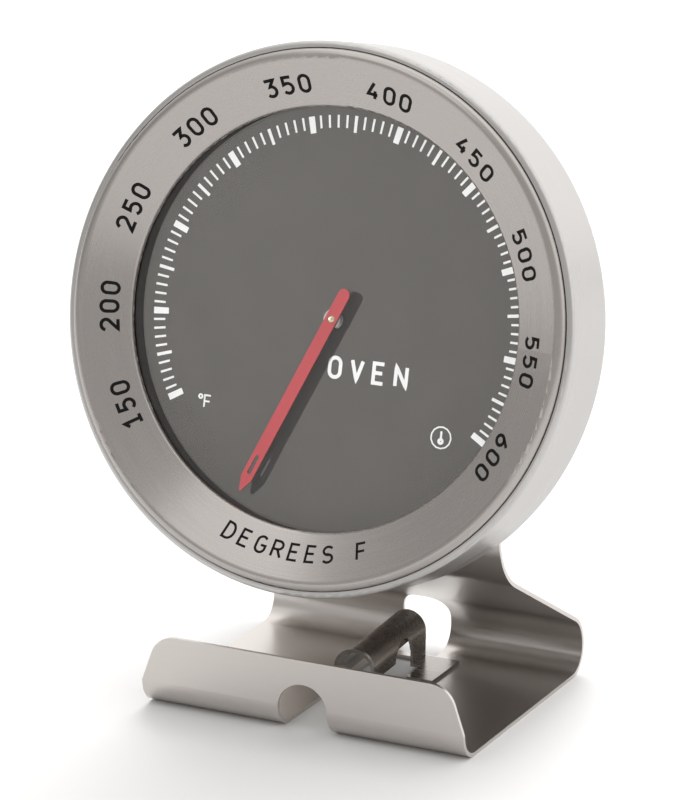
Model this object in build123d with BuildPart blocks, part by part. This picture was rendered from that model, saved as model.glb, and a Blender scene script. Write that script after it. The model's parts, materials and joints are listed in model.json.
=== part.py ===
"""Oven thermometer: a round dial case, leaning back on a stand of bent sheet with a rack clip.

Millimetres, +Z up. The origin is at the middle of the footprint of the whole object, on the
surface that it stands on. The dial faces -Y and +X is to the right of a person reading it.
"""
import math
import os

from build123d import *

os.makedirs("parts", exist_ok=True)

# ---- driving dimensions ---------------------------------------------------------------
TILT = 12.7  # the case leans back by this many degrees
DIAL_HEIGHT = 63.2  # centre of the bezel's opening above the floor

CASE_RADIUS = 41.0  # outside of the case cup
CASE_BACK = 11.5  # outer face of the cup's back, behind the opening's edge
CASE_SHEET = 0.55
CASE_CORNER = 1.8
CRIMP_HEIGHT = 2.45  # top of the cup's rolled rim, in front of the opening's edge
CRIMP_INNER_RADIUS = 40.0
CRIMP_CORNER = 0.7

OPENING_RADIUS = 31.4  # inner edge of the bezel
BEZEL_SHEET = 0.5
BEZEL_SLOPE = 25.8  # the bezel's face is a shallow cone, degrees
BEAD_OUTER_RADIUS = 39.9
BEAD_RADIUS = 1.1
BEZEL_HEM = 0.6  # how far the opening's edge is turned back
BEZEL_HEM_CORNER = 0.6
BEZEL_FLANGE_RADIUS = 40.3
BEZEL_FLANGE_CORNER = 0.3
CRIMP_GAP = 0.08  # between the cup's rolled rim and the bezel's flange

GASKET_THICKNESS = 0.3
GASKET_WIDTH = 2.4
LENS_THICKNESS = 2.0
LENS_RADIUS = 40.1
SPACER_SHEET = 0.5
SPACER_INNER_RADIUS = 32.0
DIAL_DEPTH = 5.56  # front face of the dial, behind the opening's edge
DIAL_SHEET = 0.5
DIAL_RADIUS = 40.1
POST_RADIUS = 1.5
POST_CIRCLE = 34.0
POST_COUNT = 3

ARBOR_RADIUS = 0.45
ARBOR_END = 10.7  # rear tip of the arbor, behind the opening's edge
BUSH_CLEARANCE = 0.05
HEAD_RADIUS = 0.62
HEAD_HEIGHT = 0.35
POINTER_DEPTH = 4.0  # front face of the pointer, behind the opening's edge
POINTER_SHEET = 0.3
POINTER_ANGLE = 156.3  # anticlockwise from straight up, at room temperature
POINTER_TIP = 29.8
POINTER_TAPER_START = 27.6
POINTER_TAIL = 5.1
POINTER_HALF_WIDTH = 0.95
POINTER_POINT_HALF_WIDTH = 0.15
POINTER_SLOT_CENTRE = 25.3
POINTER_SLOT_LENGTH = 3.2
POINTER_SLOT_WIDTH = 0.6
HUB_RADIUS = 1.35
HUB_HEIGHT = 0.45
HUB_GAP = 0.1
FRONT_BUSH_FLANGE_RADIUS = 1.55
FRONT_BUSH_SHANK_RADIUS = 1.2
FRONT_BUSH_LENGTH = 1.7

COIL_START = 6.9  # front edge of the bimetal coil, behind the opening's edge
COIL_HEIGHT = 2.4
COIL_STRIP = 0.3
COIL_STEP = 0.8  # growth in radius for each half turn
COIL_HALF_TURNS = 13
COLLET_RADIUS = 2.2
COLLET_GAP = 0.05
ANCHOR_RADIUS = 0.9
ANCHOR_DROP = 0.45  # the strip's end meets the post above its middle
ANCHOR_END = 9.6

BRIDGE_HALF_SPAN = 15.5
BRIDGE_FOOT = 4.5
BRIDGE_DEPTH = 10.3  # rear face of the bridge, behind the opening's edge
BRIDGE_SHEET = 0.5
BRIDGE_WIDTH = 7.0
BRIDGE_CORNER = 0.9
REAR_BUSH_RADIUS = 1.5
REAR_BUSH_FLANGE_RADIUS = 2.2
REAR_BUSH_FLANGE = 0.25
REAR_BUSH_LENGTH = 1.0

STAND_SHEET = 0.6
STAND_WIDTH = 53.7
LIP_FACE = -6.0  # front face of the lip, from the opening's centre, along Y
LIP_HEIGHT = 11.8
LIP_TAPER = 2.6  # each end of the lip draws in by this much at its top
LIP_CORNER = 4.2
FRONT_BEND = 4.3
REAR_FACE = 39.3  # rearmost point of the stand, from the opening's centre, along Y
REAR_BEND_LOW = 4.2
REAR_BEND_HIGH = 6.2
PANEL_FOOT = 8.0  # height at which the sloping panel's line meets the rearmost plane
PANEL_SLOPE = 28.4
NECK_BEND = 12.0
NECK_LENGTH = 25.0  # from the neck's corner up the back of the case
NECK_CORNER = 7.0

SLOT_X = 0.3  # middle of the notch, slot, clip and window
SLOT_WIDTH = 8.2
NOTCH_HEIGHT = 8.0
SLOT_END = 31.2  # from the opening's centre, along Y
SLOT_CORNER = 1.5
WINDOW_START = 33.4
WINDOW_TOP = 9.0
WINDOW_TOP_CORNER = 3.4
WINDOW_FOOT_CORNER = 3.5

CLIP_SHEET = 0.5
CLIP_RADIUS = 3.0  # outside of the half tube
CLIP_REAR = 31.6
CLIP_LENGTH = 19.6
CLIP_AXIS_HEIGHT = 5.25  # at the rear end
CLIP_SLOPE = 2.5  # the half tube dips towards its front end, degrees
CLIP_SKIRT = 1.6  # straight walls below the half tube's axis
CLIP_FLARE_LENGTH = 1.4
CLIP_FLARE = 0.45
CLIP_GAP_CENTRE = 23.7  # arched gap in front of the clip's leg, along Y
CLIP_GAP_RADIUS = 3.1
CLIP_GAP_HEIGHT = 3.1
CLIP_LEG_WIDTH = 4.6
CLIP_FOOT_FRONT = 21.5
CLIP_FOOT_EDGE = 4.4  # from the slot's middle, along X
CLIP_FOOT_END = 8.8

RIVET_SPOTS = ((-17.0, -22.5), (17.0, -22.5), (0.0, -15.0))  # on the case's back
RIVET_RADIUS = 1.2
RIVET_HEAD_RADIUS = 2.3
RIVET_HEAD_HEIGHT = 0.9
RIVET_TAIL_RADIUS = 2.0
RIVET_TAIL_HEIGHT = 0.4

# ---- frames and shared places ------------------------------------------------------------
lean_sin = math.sin(math.radians(TILT))
lean_cos = math.cos(math.radians(TILT))
slope_tan = math.tan(math.radians(BEZEL_SLOPE))
slope_cos = math.cos(math.radians(BEZEL_SLOPE))

bead_circle = BEAD_OUTER_RADIUS - BEAD_RADIUS
bead_height = (bead_circle - OPENING_RADIUS) * slope_tan - BEAD_RADIUS / slope_cos
front_reach = bead_circle * lean_sin + bead_height * lean_cos + BEAD_RADIUS
DIAL_Y = (front_reach - REAR_FACE) / 2  # centres the footprint on the origin

dial_centre = Vector(0, DIAL_Y, DIAL_HEIGHT)
face = Plane(origin=dial_centre, x_dir=(1, 0, 0), z_dir=(0, -lean_cos, lean_sin))
section = Plane(origin=dial_centre, x_dir=(1, 0, 0), z_dir=(0, -lean_sin, -lean_cos))
dial_axis = Axis(dial_centre, face.z_dir)
side_view = Plane(origin=(0, DIAL_Y, 0), x_dir=(0, 1, 0), z_dir=(1, 0, 0))
front_view = Plane(origin=(SLOT_X, DIAL_Y, 0), x_dir=(1, 0, 0), z_dir=(0, -1, 0))
plan_view = Plane(origin=(SLOT_X, DIAL_Y, 0), x_dir=(1, 0, 0), z_dir=(0, 0, 1))

lens_front = BEZEL_HEM + GASKET_THICKNESS
lens_back = lens_front + LENS_THICKNESS
dial_back = DIAL_DEPTH + DIAL_SHEET
case_inside = CASE_BACK - CASE_SHEET
pointer_back = POINTER_DEPTH + POINTER_SHEET
hub_back = pointer_back + HUB_HEIGHT


def behind(depth):
    """The plane parallel to the dial, this far behind the opening's edge."""
    return face.offset(-depth)


# ---- case cup: drawn sheet, its rim rolled in over the bezel's flange ----------------------
with BuildPart() as case_cup:
    with BuildSketch(section):
        with BuildLine():
            FilletPolyline(
                (CRIMP_INNER_RADIUS, CRIMP_HEIGHT),
                (CASE_RADIUS, CRIMP_HEIGHT),
                (CASE_RADIUS, -CASE_BACK),
                (0, -CASE_BACK),
                radius=(CRIMP_CORNER, CASE_CORNER),
            )
            offset(amount=CASE_SHEET, side=Side.RIGHT)
        make_face()
    revolve(axis=dial_axis)
    with BuildSketch(behind(CASE_BACK)):
        with Locations(*RIVET_SPOTS):
            Circle(RIVET_RADIUS)
    extrude(amount=CASE_SHEET, mode=Mode.SUBTRACT)
case_cup.part.label = "case_cup"

# ---- bezel ring: a conical face with a rolled bead, held by its flange ---------------------
bead_corner_height = (BEAD_OUTER_RADIUS - OPENING_RADIUS) * slope_tan
flange_height = CRIMP_HEIGHT - CASE_SHEET - CRIMP_GAP
with BuildPart() as bezel_ring:
    with BuildSketch(section):
        with BuildLine():
            FilletPolyline(
                (OPENING_RADIUS, -BEZEL_HEM),
                (OPENING_RADIUS, 0),
                (BEAD_OUTER_RADIUS, bead_corner_height),
                (BEAD_OUTER_RADIUS, flange_height),
                (BEZEL_FLANGE_RADIUS, flange_height),
                radius=(BEZEL_HEM_CORNER, BEAD_RADIUS, BEZEL_FLANGE_CORNER),
            )
            offset(amount=BEZEL_SHEET, side=Side.RIGHT)
        make_face()
    revolve(axis=dial_axis)
bezel_ring.part.label = "bezel_ring"

# ---- gasket, lens and spacer ---------------------------------------------------------------
with BuildPart() as lens_gasket:
    with BuildSketch(behind(lens_front)):
        Circle(OPENING_RADIUS + GASKET_WIDTH)
        Circle(OPENING_RADIUS + GASKET_THICKNESS, mode=Mode.SUBTRACT)
    extrude(amount=GASKET_THICKNESS)
lens_gasket.part.label = "lens_gasket"

with BuildPart() as lens_glass:
    with BuildSketch(behind(lens_back)):
        Circle(LENS_RADIUS)
    extrude(amount=LENS_THICKNESS)
lens_glass.part.label = "lens_glass"

with BuildPart() as spacer_ring:
    with BuildSketch(section):
        with BuildLine():
            Polyline(
                (SPACER_INNER_RADIUS, -lens_back),
                (SPACER_INNER_RADIUS, -DIAL_DEPTH),
                (DIAL_RADIUS, -DIAL_DEPTH),
                (DIAL_RADIUS, -lens_back),
            )
            offset(amount=SPACER_SHEET, side=Side.LEFT)
        make_face()
    revolve(axis=dial_axis)
spacer_ring.part.label = "spacer_ring"

# ---- dial plate on its posts ---------------------------------------------------------------
with BuildPart() as dial_plate:
    with BuildSketch(behind(dial_back)):
        Circle(DIAL_RADIUS)
        Circle(FRONT_BUSH_SHANK_RADIUS, mode=Mode.SUBTRACT)
    extrude(amount=DIAL_SHEET)
dial_plate.part.label = "dial_plate"

with BuildPart() as dial_posts:
    with BuildSketch(behind(case_inside)):
        with PolarLocations(POST_CIRCLE, POST_COUNT, start_angle=90):
            Circle(POST_RADIUS)
    extrude(amount=case_inside - dial_back)
dial_posts.part.label = "dial_posts"

# ---- bearings ------------------------------------------------------------------------------
bush_front = hub_back + HUB_GAP
with BuildPart() as front_bush:
    with BuildSketch(behind(DIAL_DEPTH)):
        Circle(FRONT_BUSH_FLANGE_RADIUS)
    extrude(amount=DIAL_DEPTH - bush_front)
    with BuildSketch(behind(bush_front + FRONT_BUSH_LENGTH)):
        Circle(FRONT_BUSH_SHANK_RADIUS)
    extrude(amount=FRONT_BUSH_LENGTH)
    with BuildSketch(behind(bush_front + FRONT_BUSH_LENGTH)):
        Circle(ARBOR_RADIUS + BUSH_CLEARANCE)
    extrude(amount=FRONT_BUSH_LENGTH, mode=Mode.SUBTRACT)
front_bush.part.label = "front_bush"

with BuildPart() as bridge:
    with BuildSketch(section):
        with BuildLine():
            FilletPolyline(
                (-BRIDGE_HALF_SPAN - BRIDGE_FOOT, -dial_back),
                (-BRIDGE_HALF_SPAN, -dial_back),
                (-BRIDGE_HALF_SPAN, -BRIDGE_DEPTH + BRIDGE_SHEET),
                (BRIDGE_HALF_SPAN, -BRIDGE_DEPTH + BRIDGE_SHEET),
                (BRIDGE_HALF_SPAN, -dial_back),
                (BRIDGE_HALF_SPAN + BRIDGE_FOOT, -dial_back),
                radius=BRIDGE_CORNER,
            )
            offset(amount=BRIDGE_SHEET, side=Side.RIGHT)
        make_face()
    extrude(amount=BRIDGE_WIDTH / 2, both=True)
    with BuildSketch(behind(BRIDGE_DEPTH)):
        Circle(REAR_BUSH_RADIUS)
    extrude(amount=BRIDGE_SHEET, mode=Mode.SUBTRACT)
bridge.part.label = "bridge"

rear_bush_front = BRIDGE_DEPTH - BRIDGE_SHEET - REAR_BUSH_FLANGE
with BuildPart() as rear_bush:
    with BuildSketch(behind(rear_bush_front + REAR_BUSH_FLANGE)):
        Circle(REAR_BUSH_FLANGE_RADIUS)
    extrude(amount=REAR_BUSH_FLANGE)
    with BuildSketch(behind(rear_bush_front + REAR_BUSH_LENGTH)):
        Circle(REAR_BUSH_RADIUS)
    extrude(amount=REAR_BUSH_LENGTH)
    with BuildSketch(behind(rear_bush_front + REAR_BUSH_LENGTH)):
        Circle(ARBOR_RADIUS + BUSH_CLEARANCE)
    extrude(amount=REAR_BUSH_LENGTH, mode=Mode.SUBTRACT)
rear_bush.part.label = "rear_bush"

# ---- arbor, with its riveted head in front of the pointer -----------------------------------
head_sphere = (HEAD_RADIUS**2 + HEAD_HEIGHT**2) / (2 * HEAD_HEIGHT)
with BuildPart() as arbor:
    with BuildSketch(section):
        with BuildLine():
            Polyline(
                (0, HEAD_HEIGHT - POINTER_DEPTH),
                (0, -ARBOR_END),
                (ARBOR_RADIUS, -ARBOR_END),
                (ARBOR_RADIUS, -POINTER_DEPTH),
                (HEAD_RADIUS, -POINTER_DEPTH),
            )
            RadiusArc((HEAD_RADIUS, -POINTER_DEPTH), (0, HEAD_HEIGHT - POINTER_DEPTH), -head_sphere)
        make_face()
    revolve(axis=dial_axis)
arbor.part.label = "arbor"

# ---- pointer and its hub --------------------------------------------------------------------
pointer_turn = math.radians(POINTER_ANGLE)
pointer_plane = Plane(
    origin=behind(pointer_back).origin,
    x_dir=face.x_dir * math.cos(pointer_turn) + face.y_dir * math.sin(pointer_turn),
    z_dir=face.z_dir,
)
with BuildPart() as pointer:
    with BuildSketch(pointer_plane):
        with BuildLine():
            tail_start = POINTER_HALF_WIDTH - POINTER_TAIL
            Polyline(
                (-POINTER_HALF_WIDTH, tail_start),
                (-POINTER_HALF_WIDTH, POINTER_TAPER_START),
                (-POINTER_POINT_HALF_WIDTH, POINTER_TIP),
                (POINTER_POINT_HALF_WIDTH, POINTER_TIP),
                (POINTER_HALF_WIDTH, POINTER_TAPER_START),
                (POINTER_HALF_WIDTH, tail_start),
            )
            ThreePointArc(
                (POINTER_HALF_WIDTH, tail_start),
                (0, -POINTER_TAIL),
                (-POINTER_HALF_WIDTH, tail_start),
            )
        make_face()
        Circle(ARBOR_RADIUS, mode=Mode.SUBTRACT)
        with Locations((0, POINTER_SLOT_CENTRE)):
            SlotOverall(POINTER_SLOT_LENGTH, POINTER_SLOT_WIDTH, rotation=90, mode=Mode.SUBTRACT)
    extrude(amount=POINTER_SHEET)
pointer.part.label = "pointer"

with BuildPart() as pointer_hub:
    with BuildSketch(behind(hub_back)):
        Circle(HUB_RADIUS)
        Circle(ARBOR_RADIUS, mode=Mode.SUBTRACT)
    extrude(amount=HUB_HEIGHT)
pointer_hub.part.label = "pointer_hub"

# ---- bimetal coil, between a collet on the arbor and a post on the dial's back ---------------
coil_end = COIL_START + COIL_HEIGHT
with BuildPart() as coil_collet:
    with BuildSketch(behind(coil_end)):
        Circle(COLLET_RADIUS)
        Circle(ARBOR_RADIUS, mode=Mode.SUBTRACT)
    extrude(amount=COIL_HEIGHT)
coil_collet.part.label = "coil_collet"

coil_inner = COLLET_RADIUS + COLLET_GAP
with BuildPart() as bimetal_coil:
    with BuildSketch(behind(coil_end)):
        with BuildLine() as coil_path:
            turn = JernArc((coil_inner, 0), (0, 1), coil_inner, 180)
            for half_turn in range(1, COIL_HALF_TURNS):
                turn = JernArc(turn @ 1, turn % 1, coil_inner + half_turn * COIL_STEP, 180)
            offset(amount=COIL_STRIP, side=Side.RIGHT)
        make_face()
    extrude(amount=COIL_HEIGHT)
bimetal_coil.part.label = "bimetal_coil"

coil_outer = coil_inner + (COIL_HALF_TURNS - 1) * COIL_STEP
anchor_x = -coil_outer - COIL_STRIP / 2
with BuildPart() as anchor_post:
    with BuildSketch(behind(ANCHOR_END)):
        with Locations((anchor_x, -ANCHOR_DROP)):
            Circle(ANCHOR_RADIUS)
    extrude(amount=ANCHOR_END - dial_back)
anchor_post.part.label = "anchor_post"

# ---- stand: one strip of sheet, bent into a lip, a base, a sloping panel and a neck ----------
neck_depth = CASE_BACK + STAND_SHEET
neck_y = neck_depth * lean_cos
neck_z = DIAL_HEIGHT - neck_depth * lean_sin
panel_rise = math.tan(math.radians(PANEL_SLOPE))
neck_lean = lean_sin / lean_cos
corner_y = (neck_y + neck_lean * (PANEL_FOOT + panel_rise * REAR_FACE - neck_z)) / (
    1 + neck_lean * panel_rise
)
corner_z = PANEL_FOOT + panel_rise * (REAR_FACE - corner_y)
neck_top = (corner_y + NECK_LENGTH * lean_sin, corner_z + NECK_LENGTH * lean_cos)
neck_top_centre = (neck_top[1] - DIAL_HEIGHT + neck_depth * lean_sin) / lean_cos
lip_half = STAND_WIDTH / 2
corners_foot = neck_top_centre - NECK_CORNER - 1

with BuildPart() as stand:
    with BuildSketch(side_view):
        with BuildLine():
            FilletPolyline(
                (LIP_FACE, LIP_HEIGHT),
                (LIP_FACE, 0),
                (REAR_FACE, 0),
                (REAR_FACE, PANEL_FOOT),
                (corner_y, corner_z),
                neck_top,
                radius=(FRONT_BEND, REAR_BEND_LOW, REAR_BEND_HIGH, NECK_BEND),
            )
            offset(amount=STAND_SHEET, side=Side.LEFT)
        make_face()
    extrude(amount=STAND_WIDTH / 2, both=True)

    # the lip's ends draw in towards its rounded top corners
    with BuildSketch(Plane(origin=(0, DIAL_Y + LIP_FACE, 0), x_dir=(1, 0, 0), z_dir=(0, -1, 0))):
        with Locations((0, FRONT_BEND)):
            Rectangle(STAND_WIDTH + 2, LIP_HEIGHT, align=(Align.CENTER, Align.MIN))
        with BuildLine():
            FilletPolyline(
                (-lip_half, FRONT_BEND),
                (LIP_TAPER - lip_half, LIP_HEIGHT),
                (lip_half - LIP_TAPER, LIP_HEIGHT),
                (lip_half, FRONT_BEND),
                radius=LIP_CORNER,
            )
            Line((lip_half, FRONT_BEND), (-lip_half, FRONT_BEND))
        make_face(mode=Mode.SUBTRACT)
    extrude(amount=-FRONT_BEND, mode=Mode.SUBTRACT)

    # arched notch in the lip, and the slot that runs back from it
    with BuildSketch(front_view.offset(-LIP_FACE)):
        with Locations((0, NOTCH_HEIGHT - SLOT_WIDTH / 2)):
            Circle(SLOT_WIDTH / 2)
            Rectangle(SLOT_WIDTH, NOTCH_HEIGHT, align=(Align.CENTER, Align.MAX))
    extrude(amount=-FRONT_BEND, mode=Mode.SUBTRACT)
    with BuildSketch(plan_view) as slot:
        with Locations((0, SLOT_END)):
            Rectangle(SLOT_WIDTH, SLOT_END - LIP_FACE, align=(Align.CENTER, Align.MAX))
        fillet(slot.vertices().group_by(Axis.Y)[-1], SLOT_CORNER)
    extrude(amount=STAND_SHEET, mode=Mode.SUBTRACT)

    # window in the rear bend
    with BuildSketch(front_view.offset(-REAR_FACE)) as window:
        with Locations((0, WINDOW_TOP)):
            Rectangle(SLOT_WIDTH, WINDOW_TOP, align=(Align.CENTER, Align.MAX))
        fillet(window.vertices().group_by(Axis.Y)[-1], WINDOW_TOP_CORNER)
    extrude(amount=REAR_BEND_HIGH, mode=Mode.SUBTRACT)
    with BuildSketch(plan_view) as window_foot:
        with Locations((0, WINDOW_START)):
            Rectangle(SLOT_WIDTH, REAR_FACE - WINDOW_START, align=(Align.CENTER, Align.MIN))
        fillet(window_foot.vertices().group_by(Axis.Y)[0], WINDOW_FOOT_CORNER)
    extrude(amount=REAR_BEND_LOW, mode=Mode.SUBTRACT)

    # rounded top corners of the neck, and its rivet holes
    with BuildSketch(behind(neck_depth)):
        with Locations((0, neck_top_centre)):
            Rectangle(STAND_WIDTH + 2, 2 * (neck_top_centre - corners_foot))
        with BuildLine():
            FilletPolyline(
                (-lip_half, corners_foot),
                (-lip_half, neck_top_centre),
                (lip_half, neck_top_centre),
                (lip_half, corners_foot),
                radius=NECK_CORNER,
            )
            Line((lip_half, corners_foot), (-lip_half, corners_foot))
        make_face(mode=Mode.SUBTRACT)
        with Locations(*RIVET_SPOTS):
            Circle(RIVET_RADIUS)
    extrude(amount=STAND_SHEET, mode=Mode.SUBTRACT)
stand.part.label = "stand"

# ---- rivets from the case's back through the neck --------------------------------------------
rivet_sphere = (RIVET_HEAD_RADIUS**2 + RIVET_HEAD_HEIGHT**2) / (2 * RIVET_HEAD_HEIGHT)
with BuildPart() as stand_rivets:
    for spot_x, spot_y in RIVET_SPOTS:
        spot = section.offset(-spot_y)
        with BuildSketch(spot):
            with BuildLine():
                Polyline(
                    (spot_x, -neck_depth - RIVET_HEAD_HEIGHT),
                    (spot_x, RIVET_TAIL_HEIGHT - case_inside),
                    (spot_x + RIVET_TAIL_RADIUS, RIVET_TAIL_HEIGHT - case_inside),
                    (spot_x + RIVET_TAIL_RADIUS, -case_inside),
                    (spot_x + RIVET_RADIUS, -case_inside),
                    (spot_x + RIVET_RADIUS, -neck_depth),
                    (spot_x + RIVET_HEAD_RADIUS, -neck_depth),
                )
                RadiusArc(
                    (spot_x + RIVET_HEAD_RADIUS, -neck_depth),
                    (spot_x, -neck_depth - RIVET_HEAD_HEIGHT),
                    rivet_sphere,
                )
            make_face()
        revolve(axis=Axis(spot.from_local_coords((spot_x, 0, 0)), face.z_dir))
stand_rivets.part.label = "stand_rivets"

# ---- rack clip: a springy half tube over the slot, on a leg and a foot beside it ---------------
clip_sin = math.sin(math.radians(CLIP_SLOPE))
clip_cos = math.cos(math.radians(CLIP_SLOPE))
clip_end = Plane(
    origin=(SLOT_X, DIAL_Y + CLIP_REAR, CLIP_AXIS_HEIGHT),
    x_dir=(1, 0, 0),
    z_dir=(0, -clip_cos, -clip_sin),
)
clip_front = clip_end.offset(CLIP_LENGTH - CLIP_FLARE_LENGTH)
clip_inner = CLIP_RADIUS - CLIP_SHEET
with BuildPart() as rack_clip:
    with BuildSketch(clip_end):
        with BuildLine():
            Line((-CLIP_RADIUS, -CLIP_SKIRT), (-CLIP_RADIUS, 0))
            ThreePointArc((-CLIP_RADIUS, 0), (0, CLIP_RADIUS), (CLIP_RADIUS, 0))
            Line((CLIP_RADIUS, 0), (CLIP_RADIUS, -CLIP_SKIRT))
            offset(amount=CLIP_SHEET, side=Side.RIGHT)
        make_face()
    extrude(amount=CLIP_LENGTH - CLIP_FLARE_LENGTH)

    # the front end opens out a little
    with BuildSketch(Plane(origin=clip_front.origin, x_dir=(1, 0, 0), z_dir=clip_end.y_dir)):
        with BuildLine():
            Polyline(
                (-clip_inner, 0),
                (-CLIP_RADIUS, 0),
                (-CLIP_RADIUS - CLIP_FLARE, -CLIP_FLARE_LENGTH),
                (-clip_inner - CLIP_FLARE, -CLIP_FLARE_LENGTH),
                close=True,
            )
        make_face()
    revolve(axis=Axis(clip_front.origin, clip_front.z_dir), revolution_arc=-180)

    # leg and foot
    leg_plane = Plane(origin=(SLOT_X + clip_inner, DIAL_Y, 0), x_dir=(0, 1, 0), z_dir=(1, 0, 0))
    with BuildSketch(leg_plane):
        with Locations((CLIP_REAR, STAND_SHEET)):
            Rectangle(CLIP_LEG_WIDTH, CLIP_AXIS_HEIGHT - STAND_SHEET, align=(Align.MAX, Align.MIN))
    extrude(amount=CLIP_SHEET)
    with BuildSketch(plan_view.offset(STAND_SHEET)):
        with Locations((clip_inner, CLIP_REAR)):
            Rectangle(CLIP_FOOT_END - clip_inner, CLIP_LEG_WIDTH, align=(Align.MIN, Align.MAX))
        with Locations((CLIP_FOOT_EDGE, CLIP_REAR)):
            Rectangle(
                CLIP_FOOT_END - CLIP_FOOT_EDGE,
                CLIP_REAR - CLIP_FOOT_FRONT,
                align=(Align.MIN, Align.MAX),
            )
    extrude(amount=CLIP_SHEET)
    with BuildSketch(leg_plane):
        with Locations((CLIP_GAP_CENTRE, CLIP_GAP_HEIGHT)):
            Circle(CLIP_GAP_RADIUS)
    extrude(amount=CLIP_SHEET, mode=Mode.SUBTRACT)
rack_clip.part.label = "rack_clip"

# ---- write every piece ------------------------------------------------------------------------
pieces = (
    case_cup, bezel_ring, lens_gasket, lens_glass, spacer_ring, dial_plate, dial_posts,
    front_bush, bridge, rear_bush, arbor, pointer, pointer_hub, coil_collet, bimetal_coil,
    anchor_post, stand, stand_rivets, rack_clip,
)
for piece in pieces:
    export_step(piece.part, f"parts/{piece.part.label}.step")
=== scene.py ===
"""Looks of the oven thermometer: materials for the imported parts, the printed scale and a studio.

Everything is in metres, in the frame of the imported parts. The dial's own frame is worked out from
the pointer's joint: x to the reader's right, y up the dial and z towards the reader.
"""
import json
import math

import bpy
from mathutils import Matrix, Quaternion, Vector
from mathutils.bvhtree import BVHTree


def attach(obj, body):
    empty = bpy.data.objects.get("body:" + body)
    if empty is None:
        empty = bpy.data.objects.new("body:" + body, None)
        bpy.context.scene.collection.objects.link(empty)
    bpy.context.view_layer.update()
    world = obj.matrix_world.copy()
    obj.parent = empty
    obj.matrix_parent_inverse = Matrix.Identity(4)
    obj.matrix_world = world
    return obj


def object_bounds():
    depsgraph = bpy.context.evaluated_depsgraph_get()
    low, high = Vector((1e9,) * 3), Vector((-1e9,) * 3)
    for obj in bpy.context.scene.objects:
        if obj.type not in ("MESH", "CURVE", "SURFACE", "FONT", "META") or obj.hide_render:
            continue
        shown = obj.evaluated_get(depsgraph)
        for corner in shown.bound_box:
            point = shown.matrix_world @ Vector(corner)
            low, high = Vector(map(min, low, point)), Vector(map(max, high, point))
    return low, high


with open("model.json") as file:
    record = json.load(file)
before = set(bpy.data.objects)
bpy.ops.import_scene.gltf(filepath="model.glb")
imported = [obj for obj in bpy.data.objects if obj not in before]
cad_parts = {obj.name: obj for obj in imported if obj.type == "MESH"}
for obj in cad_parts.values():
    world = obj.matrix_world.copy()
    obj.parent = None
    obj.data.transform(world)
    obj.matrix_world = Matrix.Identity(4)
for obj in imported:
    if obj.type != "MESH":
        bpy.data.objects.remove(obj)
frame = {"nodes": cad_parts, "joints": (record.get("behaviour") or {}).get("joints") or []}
cad_low, cad_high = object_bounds()

MM = 0.001

# ---- the dial's frame --------------------------------------------------------------------------
pointer_joint = frame["joints"][0]
DIAL_CENTRE = Vector(pointer_joint["pos_m"])
DIAL_NORMAL = -Vector(pointer_joint["axis"])
DIAL_RIGHT = Vector((1, 0, 0))
DIAL_UP = DIAL_NORMAL.cross(DIAL_RIGHT)
LOOK_FROM = 50 * MM  # rays onto the printed faces start this far in front


def surface_of(node):
    """A function of x and y on the dial, giving the front of that CAD node there."""
    mesh = frame["nodes"][node].data
    tree = BVHTree.FromPolygons(
        [v.co for v in mesh.vertices], [tuple(p.vertices) for p in mesh.polygons]
    )

    def point(x, y, lift):
        start = DIAL_CENTRE + DIAL_RIGHT * x + DIAL_UP * y + DIAL_NORMAL * LOOK_FROM
        return tree.ray_cast(start, -DIAL_NORMAL)[0] + DIAL_NORMAL * lift

    return point


on_dial = surface_of("dial_plate")
on_bezel = surface_of("bezel_ring")


# ---- strokes: every mark is a thin closed ribbon of ink ----------------------------------------
INK_LIFT = 0.025 * MM
INK_SINK = 0.01 * MM
STROKE_STEP = 0.12  # longest run of a stroke between two points, in heights of a letter
SHARPEST = 0.5  # a corner's edges reach no further than half the stroke divided by this


def split_runs(points, step):
    """The same line with its long runs divided, so that it can follow a curved face."""
    out = [points[0]]
    for start, end in zip(points, points[1:]):
        count = max(1, math.ceil((end - start).length / step))
        out += [start.lerp(end, i / count) for i in range(1, count + 1)]
    return out


def edges_of(points, half, closed):
    """The two edges of a line drawn with a pen of that half width."""
    count = len(points)
    left, right = [], []
    for i, here in enumerate(points):
        before = points[(i - 1) % count] if closed or i else None
        after = points[(i + 1) % count] if closed or i < count - 1 else None
        into = (here - before).normalized() if before is not None else None
        out_of = (after - here).normalized() if after is not None else None
        into, out_of = into or out_of, out_of or into
        along = (into + out_of).normalized()
        side = Vector((-along.y, along.x))
        reach = half / max(SHARPEST, along.dot(out_of))
        left.append(here + side * reach)
        right.append(here - side * reach)
    return left, right


class Ink:
    """Collects ribbons into one mesh."""

    def __init__(self):
        self.verts = []
        self.faces = []

    def stroke(self, points, half, place, closed=False):
        """Adds a ribbon. place(point, lift) puts a flat point on the object."""
        left, right = edges_of(points, half, closed)
        base = len(self.verts)
        for a, b in zip(left, right):
            self.verts += [place(a, INK_LIFT), place(b, INK_LIFT)]
            self.verts += [place(b, -INK_SINK), place(a, -INK_SINK)]
        count = len(points)
        for i in range(count if closed else count - 1):
            here, there = base + 4 * i, base + 4 * ((i + 1) % count)
            for k in range(4):
                m = (k + 1) % 4
                self.faces.append((here + k, here + m, there + m, there + k))
        if not closed:
            last = base + 4 * (count - 1)
            self.faces.append((base + 3, base + 2, base + 1, base))
            self.faces.append((last, last + 1, last + 2, last + 3))

    def finish(self, name, material):
        """Makes the piece, riding on the case."""
        mesh = bpy.data.meshes.new(name)
        mesh.from_pydata(self.verts, [], self.faces)
        mesh.materials.append(material)
        piece = bpy.data.objects.new(name, mesh)
        bpy.context.scene.collection.objects.link(piece)
        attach(piece, "case")
        return piece


# ---- letters, one height high ------------------------------------------------------------------
W = 0.60  # width of a letter
H = W / 2  # half of it
ARC_STEPS = 12
RING_END = 330  # the last point of a closed ring, in degrees; the run back to its start is the rest


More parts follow.
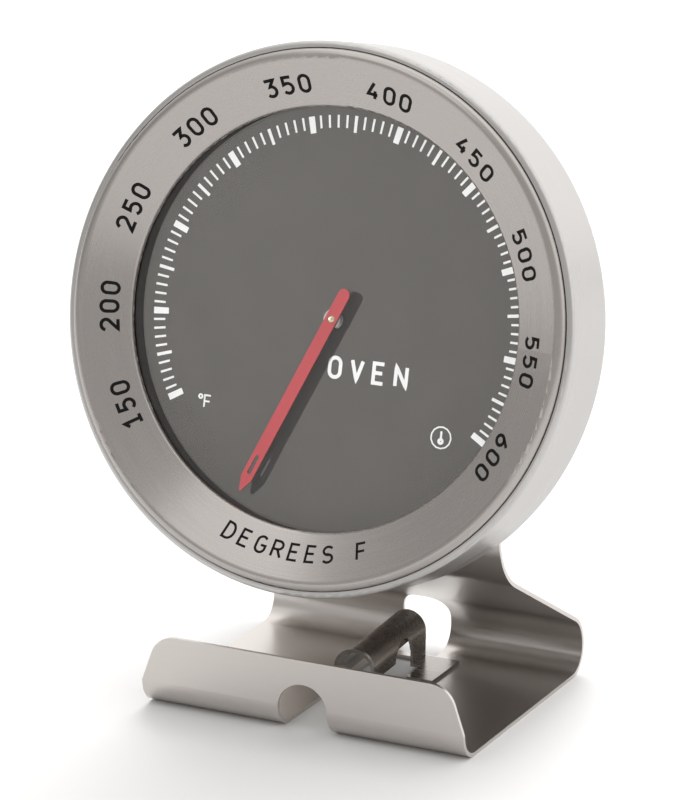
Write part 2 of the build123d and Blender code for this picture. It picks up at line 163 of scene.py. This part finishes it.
def arc(x, y, width, height, start, end):
    """Points of an elliptical arc of that half width and half height, in degrees."""
    turns = [math.radians(start + (end - start) * i / ARC_STEPS) for i in range(ARC_STEPS + 1)]
    return [Vector((x + width * math.cos(t), y + height * math.sin(t))) for t in turns]


def line(*points):
    """Points of a line through those corners."""
    return [Vector(p) for p in points]


BOWL = 0.31  # half height of the round part of 3, 5 and 6
# a letter is a list of strokes: the points of each, and whether it is closed
ring = arc(H, 1 - H, H, H, 0, 180) + arc(H, H, H, H, 180, 360)
LETTERS = {
    "0": [(ring, True)],
    "1": [
        (line((0.1, 0.76), (0.36, 1), (0.36, 0)), False),
        (line((0.1, 0), (0.62, 0)), False),
    ],
    "2": [(arc(H, 0.71, H, 0.29, 170, -38) + line((0, 0), (W, 0)), False)],
    "3": [
        (line((0.02, 1), (W - 0.03, 1), (0.27, 0.6)) + arc(H - 0.02, BOWL, BOWL, BOWL, 78, -145), False),
    ],
    "4": [
        (line((0.36, 1), (0, 0.26), (W, 0.26)), False),
        (line((0.44, 0.5), (0.44, 0)), False),
    ],
    "5": [
        (line((W - 0.04, 1), (0.08, 1), (0.05, 0.56)) + arc(H - 0.02, BOWL, BOWL, BOWL, 118, -145), False),
    ],
    "6": [
        (line((0.42, 1), (0.04, 0.44)), False),
        (arc(H, BOWL, H, BOWL, 0, RING_END), True),
    ],
    "D": [(line((0, 0), (0, 1)) + arc(0.25, 0.5, W - 0.25, 0.5, 90, -90), True)],
    "E": [
        (line((W - 0.05, 1), (0, 1), (0, 0), (W - 0.05, 0)), False),
        (line((0, 0.52), (W - 0.12, 0.52)), False),
    ],
    "F": [
        (line((W - 0.05, 1), (0, 1), (0, 0)), False),
        (line((0, 0.5), (W - 0.12, 0.5)), False),
    ],
    "G": [
        (arc(H, 1 - H, H, H, 35, 180) + arc(H, H, H, H, 180, 360) + line((W, 0.46), (H, 0.46)), False),
    ],
    "N": [(line((0, 0), (0, 1), (W, 0), (W, 1)), False)],
    "O": [(ring, True)],
    "R": [
        (line((0, 0), (0, 1)) + arc(0.3, 0.74, W - 0.3, 0.26, 90, -90) + line((0, 0.48)), False),
        (line((0.3, 0.48), (W, 0)), False),
    ],
    "S": [(arc(H, 0.74, H, 0.26, 35, 270) + arc(H, 0.26, H, 0.26, 90, -145), False)],
    "V": [(line((0, 1), (H, 0), (W, 1)), False)],
    "°": [(arc(0.34, 0.86, 0.16, 0.16, 0, RING_END), True)],
    " ": [],
}


def write(ink, word, height, pitch, half, place):
    """Draws a word, centred. place(point, lift) takes metres from its middle."""
    width = pitch * (len(word) - 1) + W * height
    for index, letter in enumerate(word):
        corner = Vector((index * pitch - width / 2, -height / 2))
        for points, closed in LETTERS[letter]:
            path = split_runs(points, STROKE_STEP)
            path = [corner + p * height for p in path]
            ink.stroke(path, half, place, closed)


def flat_at(x, y):
    """A place function for upright marks on the dial, with their middle at x and y."""
    return lambda p, lift: on_dial(x + p.x, y + p.y, lift)


def round_at(degrees, radius, outward=True, on_face=on_bezel, lean=1.0, shift=(0, 0)):
    """A place function for marks on a circle, their middle at that angle clockwise from the top.

    outward says which way their tops point. lean is the share of a length up the face that the
    dial's plane sees. shift is where the circle's middle lies.
    """
    sign = 1 if outward else -1

    def place(p, lift):
        angle = math.radians(degrees) + sign * p.x / radius
        far = radius + sign * p.y * lean
        return on_face(shift[0] + far * math.sin(angle), shift[1] + far * math.cos(angle), lift)

    return place


# ---- materials ---------------------------------------------------------------------------------
NOISE_RANGE = (0.3, 0.7)  # most of a noise texture's values
MIX_DARK, MIX_LIGHT, MIX_RESULT = 6, 7, 2  # the colour sockets of a Mix node


class Nodes:
    """A short way to write a material's node tree."""

    def __init__(self, name):
        self.material = bpy.data.materials.new(name)
        self.material.use_nodes = True
        self.tree = self.material.node_tree
        self.shader = self.tree.nodes["Principled BSDF"]

    def add(self, kind, inputs=None, **settings):
        node = self.tree.nodes.new(kind)
        for key, value in settings.items():
            setattr(node, key, value)
        for key, value in (inputs or {}).items():
            if isinstance(value, bpy.types.NodeSocket):
                self.tree.links.new(value, node.inputs[key])
            else:
                node.inputs[key].default_value = value
        return node

    def math(self, operation, a, b=0.0):
        return self.add("ShaderNodeMath", {0: a, 1: b}, operation=operation).outputs[0]

    def vector(self, x, y, z):
        return self.add("ShaderNodeCombineXYZ", {0: x, 1: y, 2: z}).outputs[0]

    def place(self):
        """Where a point of the object is, in metres."""
        return self.add("ShaderNodeTexCoord").outputs["Object"]

    def link(self, output, socket):
        self.tree.links.new(output, self.shader.inputs[socket])

    def set(self, **values):
        for key, value in values.items():
            self.shader.inputs[key.replace("_", " ")].default_value = value

    def vary(self, noise, low, high):
        """A noise spread over low to high."""
        start, end = NOISE_RANGE
        spread = {"From Min": start, "From Max": end, "To Min": low, "To Max": high, "Value": noise}
        return self.add("ShaderNodeMapRange", spread).outputs[0]

    def tint(self, noise, dark, light):
        """A colour between two, by a noise."""
        share = self.vary(noise, 0.0, 1.0)
        mix = self.add("ShaderNodeMix", data_type="RGBA")
        self.tree.links.new(share, mix.inputs["Factor"])
        mix.inputs[MIX_DARK].default_value = (*dark, 1)
        mix.inputs[MIX_LIGHT].default_value = (*light, 1)
        return mix.outputs[MIX_RESULT]

    def both(self, first, second, share):
        """Two noises in one, with that share of the first."""
        first_part = self.math("MULTIPLY", first, share)
        return self.math("ADD", first_part, self.math("MULTIPLY", second, 1 - share))

    def noise(self, vector, scale, detail):
        inputs = {"Vector": vector, "Scale": scale, "Detail": detail}
        return self.add("ShaderNodeTexNoise", inputs).outputs["Fac"]

    def bump(self, height, distance):
        inputs = {"Height": height, "Distance": distance, "Strength": 1.0}
        self.link(self.add("ShaderNodeBump", inputs).outputs["Normal"], "Normal")


def shade(colour, share):
    """The same colour, darker."""
    return tuple(c * share for c in colour)


def dial_polar(nodes):
    """A point's distance from the dial's axis, angle round it and depth, and its offset from the centre."""
    moved = nodes.add("ShaderNodeVectorMath", {0: nodes.place(), 1: DIAL_CENTRE}, operation="SUBTRACT")
    parts = [
        nodes.add("ShaderNodeVectorMath", {0: moved.outputs[0], 1: axis}, operation="DOT_PRODUCT")
        for axis in (DIAL_RIGHT, DIAL_UP, DIAL_NORMAL)
    ]
    x, y, z = (part.outputs["Value"] for part in parts)
    squares = nodes.math("ADD", nodes.math("MULTIPLY", x, x), nodes.math("MULTIPLY", y, y))
    return nodes.math("SQRT", squares), nodes.math("ARCTAN2", y, x), z, moved.outputs[0]


LINE_SCALE = 3.5 / MM  # brushing lines to a metre, across them
BAND_SCALE = LINE_SCALE / 9  # broader bands of lines
LINE_TURN, BAND_TURN = 2.2, 1.3  # the same to a radian, along them
BAND_SEED = 4.0  # keeps the bands' noise apart from the lines'
LINE_SHARE, SHEET_LINE_SHARE = 0.6, 0.65  # of the fine lines in the brushing, round and straight
ROUND_SMOOTHER, ROUND_ROUGHER = 0.05, 0.06  # how far the brushing changes the roughness
ROUND_BUMP = 0.002 * MM
PATCH_SCALE = 90.0  # of the patches on sheet metal, to a metre
CLOUD_SCALE = 120.0  # of the light and dark patches in paint
PAINT_SPREAD = 0.06  # how far the grain changes a paint's roughness


def round_brushed(name, colour, roughness, anisotropy, along_axis, streak=0.95):
    """Metal brushed in circles round the dial's axis.

    along_axis is True on a wall, whose reflections spread along the axis, and False on a face,
    where they spread outwards.
    """
    nodes = Nodes(name)
    distance, angle, depth, outward = dial_polar(nodes)
    across = nodes.math("ADD", distance, depth)

    def rings(scale, turn, seed, detail):
        """Noise drawn out into rings round the axis."""
        far = nodes.math("MULTIPLY", across, scale)
        way_round = nodes.math("MULTIPLY", angle, turn)
        return nodes.noise(nodes.vector(far, way_round, seed), 1.0, detail)

    lines = rings(LINE_SCALE, LINE_TURN, 0.0, 4.0)
    bands = rings(BAND_SCALE, BAND_TURN, BAND_SEED, 2.0)
    both = nodes.both(lines, bands, LINE_SHARE)
    nodes.link(nodes.tint(both, shade(colour, streak), colour), "Base Color")
    nodes.link(nodes.vary(both, roughness - ROUND_SMOOTHER, roughness + ROUND_ROUGHER), "Roughness")
    nodes.bump(lines, ROUND_BUMP)
    nodes.set(Metallic=1.0, Anisotropic=anisotropy)
    if along_axis:
        nodes.link(nodes.vector(*DIAL_NORMAL), "Tangent")
    else:
        nodes.link(outward, "Tangent")
    return nodes.material


def straight_brushed(name, colour, roughness, stretch, streak=0.96, bump=0.001 * MM, spread=0.05):
    """Sheet metal with faint lines. stretch says how far a line runs along x, y and z, in metres."""
    nodes = Nodes(name)
    scale = Vector([1 / s for s in stretch])
    pressed = nodes.add("ShaderNodeVectorMath", {0: nodes.place(), 1: scale}, operation="MULTIPLY")
    lines = nodes.noise(pressed.outputs[0], 1.0, 2.0)
    both = nodes.both(lines, nodes.noise(nodes.place(), PATCH_SCALE, 2.0), SHEET_LINE_SHARE)
    nodes.link(nodes.tint(both, shade(colour, streak), colour), "Base Color")
    nodes.link(nodes.vary(both, roughness - spread, roughness + spread), "Roughness")
    nodes.bump(lines, bump)
    nodes.set(Metallic=1.0)
    return nodes.material


def painted(name, colour, roughness, grain=0.002 * MM, grain_scale=6000.0, spread=0.9, shine=0.5):
    """Paint or ink with a fine grain."""
    nodes = Nodes(name)
    grains = nodes.noise(nodes.place(), grain_scale, 3.0)
    clouds = nodes.noise(nodes.place(), CLOUD_SCALE, 2.0)
    nodes.link(nodes.tint(clouds, shade(colour, spread), colour), "Base Color")
    nodes.link(nodes.vary(grains, roughness - PAINT_SPREAD, roughness + PAINT_SPREAD), "Roughness")
    nodes.set(Specular_IOR_Level=shine)
    nodes.bump(grains, grain)
    return nodes.material


GLASS_COLOUR = (0.97, 0.98, 0.98, 1)
GLASS_IOR = 1.46
SMUDGE_SCALE = 60.0
SMUDGE_ROUGHNESS = 0.03


def glass(name):
    """Clear glass that lets lamps through to the dial."""
    nodes = Nodes(name)
    smudges = nodes.noise(nodes.place(), SMUDGE_SCALE, 4.0)
    nodes.link(nodes.vary(smudges, 0.0, SMUDGE_ROUGHNESS), "Roughness")
    nodes.set(Base_Color=GLASS_COLOUR, Transmission_Weight=1.0, IOR=GLASS_IOR)
    clear = nodes.add("ShaderNodeBsdfTransparent")
    shadow = nodes.add("ShaderNodeLightPath").outputs["Is Shadow Ray"]
    mix = nodes.add("ShaderNodeMixShader", {0: shadow, 1: nodes.shader.outputs[0], 2: clear.outputs[0]})
    nodes.tree.links.new(mix.outputs[0], nodes.tree.nodes["Material Output"].inputs["Surface"])
    return nodes.material


BEZEL_COLOUR = (0.42, 0.395, 0.378)
CASE_COLOUR = (0.52, 0.51, 0.50)
STAND_COLOUR = (0.59, 0.56, 0.535)
CLIP_COLOUR = (0.353, 0.331, 0.309)

black_ink = painted("black_ink", (0.006, 0.0055, 0.0055), 0.6, shine=0.15)
white_ink = painted("white_ink", (0.72, 0.72, 0.71), 0.5)
case_metal = round_brushed("brushed_case", CASE_COLOUR, 0.30, 0.5, along_axis=True)
bezel_metal = round_brushed("brushed_bezel", BEZEL_COLOUR, 0.26, 0.6, along_axis=False)
ACROSS_STRIP = (14 * MM, 0.25 * MM, 0.25 * MM)
ACROSS_STAND = (30 * MM, 0.6 * MM, 0.6 * MM)
stand_metal = straight_brushed(
    "sheet_steel", STAND_COLOUR, 0.31, ACROSS_STAND, streak=0.985, bump=0.0002 * MM, spread=0.015
)
clip_metal = straight_brushed("spring_steel", CLIP_COLOUR, 0.25, ACROSS_STRIP)
plain_metal = straight_brushed("bright_steel", (0.50, 0.485, 0.47), 0.22, (0.6 * MM,) * 3)
brass = straight_brushed("turned_brass", (0.78, 0.66, 0.46), 0.22, (0.5 * MM,) * 3)
bimetal = straight_brushed("bimetal_strip", (0.5, 0.44, 0.38), 0.3, (0.5 * MM,) * 3)
rubber = painted("seal_rubber", (0.02, 0.02, 0.02), 0.7, 0.01 * MM, 2500.0)
black_paint = painted("black_paint", (0.066, 0.059, 0.054), 0.55)
dial_paint = painted("dial_paint", (0.072, 0.065, 0.059), 0.5, shine=0.15)
pointer_paint = painted("pointer_paint", (0.39, 0.038, 0.046), 0.4, shine=0.2)

NODE_MATERIALS = {
    "case_cup": case_metal,
    "bezel_ring": bezel_metal,
    "lens_gasket": rubber,
    "lens_glass": glass("lens_glass"),
    "spacer_ring": black_paint,
    "dial_plate": dial_paint,
    "dial_posts": plain_metal,
    "front_bush": plain_metal,
    "bridge": plain_metal,
    "rear_bush": brass,
    "arbor": brass,
    "pointer": pointer_paint,
    "pointer_hub": plain_metal,
    "coil_collet": brass,
    "bimetal_coil": bimetal,
    "anchor_post": plain_metal,
    "stand": stand_metal,
    "stand_rivets": plain_metal,
    "rack_clip": clip_metal,
}
for node, material in NODE_MATERIALS.items():
    for slot in frame["nodes"][node].material_slots:
        slot.material = material

# ---- the printed scale -------------------------------------------------------------------------
SCALE_MIDDLE = 375  # degrees Fahrenheit straight up
SCALE_HALF = 225  # from the middle to either end
SCALE_TURN = 120.25  # how far the ends lie from straight up, in degrees
SCALE_BOW = 1.9  # the middle of each half is this many degrees further out than an even scale
TICK_OUTER = 30.2 * MM
# for every so many degrees: a tick's length and half its width, the longest first
TICKS = ((50, 2.5 * MM, 0.5 * MM), (25, 2.5 * MM, 0.25 * MM), (5, 1.9 * MM, 0.17 * MM))

NUMERAL_RADIUS = 34.4 * MM
NUMERAL_HEIGHT = 2.55 * MM
NUMERAL_PITCH = 2.75 * MM
NUMERAL_HALF = 0.25 * MM
# the numerals' ring is a little turned, in degrees, closer together and off centre; the values were
# fitted to the photo, and may stand for an error in the camera or the bezel's slope
NUMERAL_TURN = -0.55
NUMERAL_SPREAD = 0.991
NUMERAL_SHIFT = (-0.1 * MM, 0.35 * MM)
BEZEL_LEAN = 0.9  # cosine of the bezel's slope
BEZEL_WORD_RADIUS = 34.5 * MM
BEZEL_WORD_TURN = 179.5
BEZEL_WORD = {"word": "DEGREES F", "height": 2.5 * MM, "pitch": 2.75 * MM, "half": 0.19 * MM}
DIAL_WORD = {"word": "OVEN", "height": 2.9 * MM, "pitch": 3.6 * MM, "half": 0.28 * MM}
DIAL_WORD_AT = (6.2 * MM, -7.1 * MM)
UNIT_MARK = {"word": "°F", "height": 1.8 * MM, "pitch": 1.3 * MM, "half": 0.13 * MM}
UNIT_MARK_AT = (-20.2 * MM, -15.0 * MM)
EMBLEM_AT = (19.0 * MM, -15.1 * MM)
EMBLEM_RADIUS, EMBLEM_HALF = 1.6 * MM, 0.11 * MM
BULB_DROP, BULB_RADIUS, BULB_HALF = 0.55 * MM, 0.3 * MM, 0.2 * MM
STEM_LOW, STEM_HIGH, STEM_HALF = -0.3 * MM, 0.95 * MM, 0.16 * MM


def scale_angle(fahrenheit):
    """Where a temperature lies, in degrees clockwise from straight up."""
    share = (fahrenheit - SCALE_MIDDLE) / SCALE_HALF
    return SCALE_TURN * share + SCALE_BOW * math.sin(math.pi * share)


marks = Ink()
for fahrenheit in range(SCALE_MIDDLE - SCALE_HALF, SCALE_MIDDLE + SCALE_HALF + 1, TICKS[-1][0]):
    length, half = next((long, half) for every, long, half in TICKS if fahrenheit % every == 0)
    place = round_at(scale_angle(fahrenheit), TICK_OUTER, on_face=on_dial)
    marks.stroke(line((0, -length), (0, 0)), half, place)
marks.finish("scale_marks", white_ink)

numerals = Ink()
for fahrenheit in range(SCALE_MIDDLE - SCALE_HALF, SCALE_MIDDLE + SCALE_HALF + 1, TICKS[0][0]):
    turn = scale_angle(fahrenheit) * NUMERAL_SPREAD + NUMERAL_TURN
    place = round_at(turn, NUMERAL_RADIUS, lean=BEZEL_LEAN, shift=NUMERAL_SHIFT)
    write(numerals, str(fahrenheit), NUMERAL_HEIGHT, NUMERAL_PITCH, NUMERAL_HALF, place)
numerals.finish("scale_numerals", black_ink)

bezel_word = Ink()
place = round_at(BEZEL_WORD_TURN, BEZEL_WORD_RADIUS, outward=False, lean=BEZEL_LEAN)
write(bezel_word, place=place, **BEZEL_WORD)
bezel_word.finish("bezel_word", black_ink)

dial_word = Ink()
write(dial_word, place=flat_at(*DIAL_WORD_AT), **DIAL_WORD)
dial_word.finish("dial_word", white_ink)

unit_mark = Ink()
write(unit_mark, place=flat_at(*UNIT_MARK_AT), **UNIT_MARK)
unit_mark.finish("unit_mark", white_ink)

# a ring round a small thermometer, in the place of a maker's round mark
emblem = Ink()
emblem_place = flat_at(*EMBLEM_AT)
edge = arc(0, 0, EMBLEM_RADIUS, EMBLEM_RADIUS, 0, RING_END)
bulb = arc(0, -BULB_DROP, BULB_RADIUS, BULB_RADIUS, 0, RING_END)
emblem.stroke(edge, EMBLEM_HALF, emblem_place, closed=True)
emblem.stroke(bulb, BULB_HALF, emblem_place, closed=True)
emblem.stroke(line((0, STEM_LOW), (0, STEM_HIGH)), STEM_HALF, emblem_place)
emblem.finish("dial_emblem", white_ink)

# ---- studio ------------------------------------------------------------------------------------
FLOOR_SIZE = 12.0
FLOOR_COLOUR = (0.82, 0.82, 0.82)
FLOOR_GAP = 0.02 * MM
FLOOR_PATCH_SCALE = 3.0


def make_floor():
    """A plain pale floor, a hair under the stand."""
    nodes = Nodes("studio_floor")
    clouds = nodes.noise(nodes.place(), FLOOR_PATCH_SCALE, 2.0)
    nodes.link(nodes.tint(clouds, shade(FLOOR_COLOUR, 0.98), FLOOR_COLOUR), "Base Color")
    nodes.set(Roughness=0.9)
    half = FLOOR_SIZE / 2
    z = cad_low.z - FLOOR_GAP
    mesh = bpy.data.meshes.new("floor")
    corners = [(-half, -half, z), (half, -half, z), (half, half, z), (-half, half, z)]
    mesh.from_pydata(corners, [], [(0, 1, 2, 3)])
    mesh.materials.append(nodes.material)
    floor = bpy.data.objects.new("floor", mesh)
    bpy.context.scene.collection.objects.link(floor)


# how bright the room is in front and behind, and its share of that overhead and at the far left
FRONT_LIGHT, BACK_LIGHT = 0.65, 1.47
TOP_SHARE = 1.12
LEFT_SHARE = 0.64
# where each of them starts and ends, along a direction's y, z and x
FRONT_EDGE, BACK_EDGE = -0.62, 0.15
TOP_START, TOP_FULL = 0.6, 0.95
LEFT_FULL, LEFT_START = -0.85, -0.45
ROOM_COLOUR = (1.0, 0.985, 0.97, 1)


def make_world():
    """Soft light from all round: dim in front and at the left, bright behind and overhead."""
    world = bpy.data.worlds.new("studio")
    bpy.context.scene.world = world
    world.use_nodes = True
    tree = world.node_tree
    background = tree.nodes["Background"]
    coords = tree.nodes.new("ShaderNodeTexCoord")
    parts = tree.nodes.new("ShaderNodeSeparateXYZ")
    tree.links.new(coords.outputs["Generated"], parts.inputs[0])

    def ramp(socket, low, high, dark, light):
        node = tree.nodes.new("ShaderNodeMapRange")
        node.interpolation_type = "SMOOTHSTEP"
        tree.links.new(socket, node.inputs["Value"])
        for key, value in (("From Min", low), ("From Max", high), ("To Min", dark), ("To Max", light)):
            node.inputs[key].default_value = value
        return node.outputs[0]

    def times(a, b):
        node = tree.nodes.new("ShaderNodeMath")
        node.operation = "MULTIPLY"
        tree.links.new(a, node.inputs[0])
        tree.links.new(b, node.inputs[1])
        return node.outputs[0]

    depth = ramp(parts.outputs["Y"], FRONT_EDGE, BACK_EDGE, FRONT_LIGHT, BACK_LIGHT)
    overhead = ramp(parts.outputs["Z"], TOP_START, TOP_FULL, 1.0, TOP_SHARE)
    left = ramp(parts.outputs["X"], LEFT_FULL, LEFT_START, LEFT_SHARE, 1.0)
    tree.links.new(times(times(depth, overhead), left), background.inputs["Strength"])
    background.inputs["Color"].default_value = ROOM_COLOUR


def soft_box(name, place, target, size, power, mirrored=True):
    """A square lamp that faces its target. mirrored says whether metal reflects it."""
    lamp = bpy.data.lights.new(name, "AREA")
    lamp.size = size
    lamp.energy = power
    box = bpy.data.objects.new(name, lamp)
    box.location = place
    box.rotation_mode = "QUATERNION"
    box.rotation_quaternion = (Vector(target) - Vector(place)).to_track_quat("-Z", "Y")
    box.visible_glossy = mirrored
    bpy.context.scene.collection.objects.link(box)
    return box


KEY_TOWARD = DIAL_RIGHT * -0.95 + DIAL_UP * 0.25 + DIAL_NORMAL
KEY_DISTANCE = 1.2
KEY_SIZE = 0.04
KEY_POWER = 17.7
# name, direction from the object, distance, size, power and whether metal reflects it
SOFT_BOXES = (
    ("front_box", (-0.22, -0.56, 0.79), 0.9, 0.5, 0.57, True),
    ("rear_box", (-0.25, 0.75, 0.62), 1.0, 0.6, 5.7, False),
)


def make_lights():
    """The soft boxes, and a small lamp that throws the pointer's shadow and lights the dial alone."""
    middle = (cad_low + cad_high) / 2
    for name, toward, far, size, power, mirrored in SOFT_BOXES:
        place = middle + Vector(toward).normalized() * far
        soft_box(name, place, middle, size, power, mirrored)
    place = DIAL_CENTRE + KEY_TOWARD.normalized() * KEY_DISTANCE
    key = soft_box("pointer_key", place, DIAL_CENTRE, KEY_SIZE, KEY_POWER)
    throws = bpy.data.collections.new("pointer_shadow")
    for node in ("pointer", "pointer_hub", "arbor", "front_bush"):
        throws.objects.link(frame["nodes"][node])
    catches = bpy.data.collections.new("pointer_light")
    for node in ("dial_plate", "pointer", "pointer_hub", "front_bush", "arbor"):
        catches.objects.link(frame["nodes"][node])
    for name in ("scale_marks", "dial_word", "unit_mark", "dial_emblem"):
        catches.objects.link(bpy.data.objects[name])
    key.light_linking.blocker_collection = throws
    key.light_linking.receiver_collection = catches


# the camera stands to the reader's right, a little above, with a long lens
CAMERA_TURN = 25.78
CAMERA_RISE = 16.90
CAMERA_ROLL = 0.58
CAMERA_DISTANCE = 676.8 * MM
CAMERA_LENS = 207.0
CAMERA_SENSOR = 36.0
AIM_RIGHT = 2.24 * MM  # the picture's middle, from the dial's centre
AIM_DOWN = 11.79 * MM


def make_camera():
    turn, rise = math.radians(CAMERA_TURN), math.radians(CAMERA_RISE)
    back = Vector((math.sin(turn) * math.cos(rise), -math.cos(turn) * math.cos(rise), math.sin(rise)))
    rotation = (-back).to_track_quat("-Z", "Y") @ Quaternion((0, 0, 1), math.radians(CAMERA_ROLL))
    data = bpy.data.cameras.new("camera")
    data.lens = CAMERA_LENS
    data.sensor_width = CAMERA_SENSOR
    data.clip_start = 0.01
    camera = bpy.data.objects.new("camera", data)
    camera.rotation_mode = "QUATERNION"
    camera.rotation_quaternion = rotation
    camera.location = DIAL_CENTRE + rotation @ Vector((AIM_RIGHT, -AIM_DOWN, CAMERA_DISTANCE))
    bpy.context.scene.collection.objects.link(camera)
    bpy.context.scene.camera = camera


make_floor()
make_world()
make_lights()
make_camera()
bpy.context.scene.view_settings.view_transform = "Standard"
